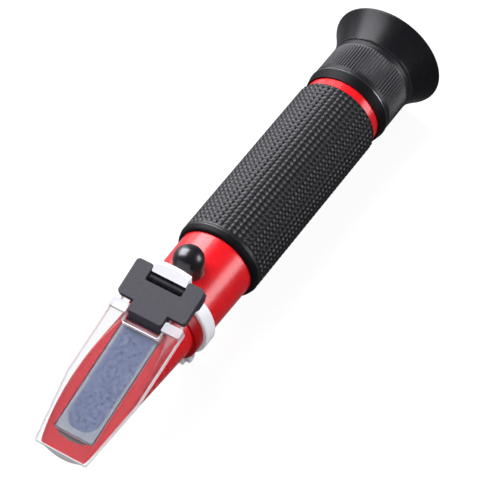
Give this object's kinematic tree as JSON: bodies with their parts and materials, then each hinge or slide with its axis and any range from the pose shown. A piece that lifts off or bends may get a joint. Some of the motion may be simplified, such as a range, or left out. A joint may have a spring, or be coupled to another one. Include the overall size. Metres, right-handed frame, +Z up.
{
  "type": "refractometer",
  "caption": "Hand-held refractometer with a hinged clear daylight plate over a measuring prism, a ribbed rubber grip and a focusing eyepiece.",
  "frame": {"origin": "on the surface that the instrument lies on, below the middle of its box; the optical axis is 20.3 mm above it", "axes": "+X from the prism towards the eyecup along the optical axis, +Z up on the side of the daylight plate, +Y across, to the left when looking along +X"},
  "size_m": [0.1964, 0.0406, 0.0428],
  "materials": {
    "red_enamel": "gloss enamel",
    "grip_rubber": "fine raised points",
    "black_plastic": "satin, fine ribs",
    "eyecup_rubber": "smooth",
    "white_metal": "bright satin",
    "steel": "polished",
    "clear_plastic": "clear",
    "bracket_plastic": "satin",
    "prism_glass": "ground face",
    "seal": "matte",
    "black_metal": "black anodised",
    "lens_glass": "coated",
    "spring_steel": "plain",
    "brass": "turned",
    "cap_rubber": "smooth"
  },
  "bodies": {
    "main_tube": {"body_tube": "red_enamel", "grip_sleeve": "grip_rubber", "prism_housing": "red_enamel", "measuring_prism": "prism_glass", "prism_seal": "seal", "housing_seal_ring": "seal", "clamp_ring": "white_metal", "hinge_bush": "black_plastic", "clamp_screw": "steel", "clamp_nut": "steel", "aperture_stop": "black_metal", "cell_spring": "spring_steel", "screw_bush": "brass", "baffle_tube": "black_metal", "reticle_mount": "black_metal", "reticle": "lens_glass", "reticle_retainer": "black_metal", "focus_seal_ring": "seal"},
    "cover": {"daylight_plate": "clear_plastic", "plate_bracket": "bracket_plastic", "hinge_pin": "steel"},
    "cap": {"screw_cap": "cap_rubber"},
    "objective_group": {"objective_cell": "black_metal", "objective_lens": "lens_glass", "objective_retainer": "black_metal"},
    "adjuster": {"calibration_screw": "steel"},
    "lens_group": {"lens_cell": "black_metal", "field_lens": "lens_glass", "lens_spacer": "black_metal", "eye_lens": "lens_glass", "lens_retainer": "black_metal"},
    "eyepiece": {"focus_barrel": "black_plastic", "eyecup": "eyecup_rubber"}
  },
  "joints": [
    {"name": "cover_hinge", "type": "hinge", "parent": "main_tube", "child": "cover", "pos_m": [-0.03882, 0, 0.03753], "axis": [0, 1, 0], "range_deg": [0, 80]},
    {"name": "cap_pull", "type": "slide", "parent": "main_tube", "child": "cap", "axis": [0, 0, 1], "range_m": [0, 0.012]},
    {"name": "calibration_travel", "type": "slide", "parent": "main_tube", "child": "objective_group", "axis": [0, 0, 1], "range_m": [-0.000375, 0.000375]},
    {"name": "calibration_turn", "type": "hinge", "parent": "objective_group", "child": "adjuster", "pos_m": [-0.0266, 0, 0.035], "axis": [0, 0, 1], "range_deg": [-271, 271]},
    {"name": "focus_travel", "type": "slide", "parent": "main_tube", "child": "lens_group", "axis": [1, 0, 0], "range_m": [-0.002, 0.002]},
    {"name": "focus_turn", "type": "hinge", "parent": "lens_group", "child": "eyepiece", "pos_m": [0.08, 0, 0.0203], "axis": [1, 0, 0], "range_deg": [-121, 121]}
  ],
  "couplings": [
    {"joint": "calibration_turn", "follows": "calibration_travel", "rad_per_m": 12566},
    {"joint": "focus_turn", "follows": "focus_travel", "rad_per_m": 1047.2}
  ]
}
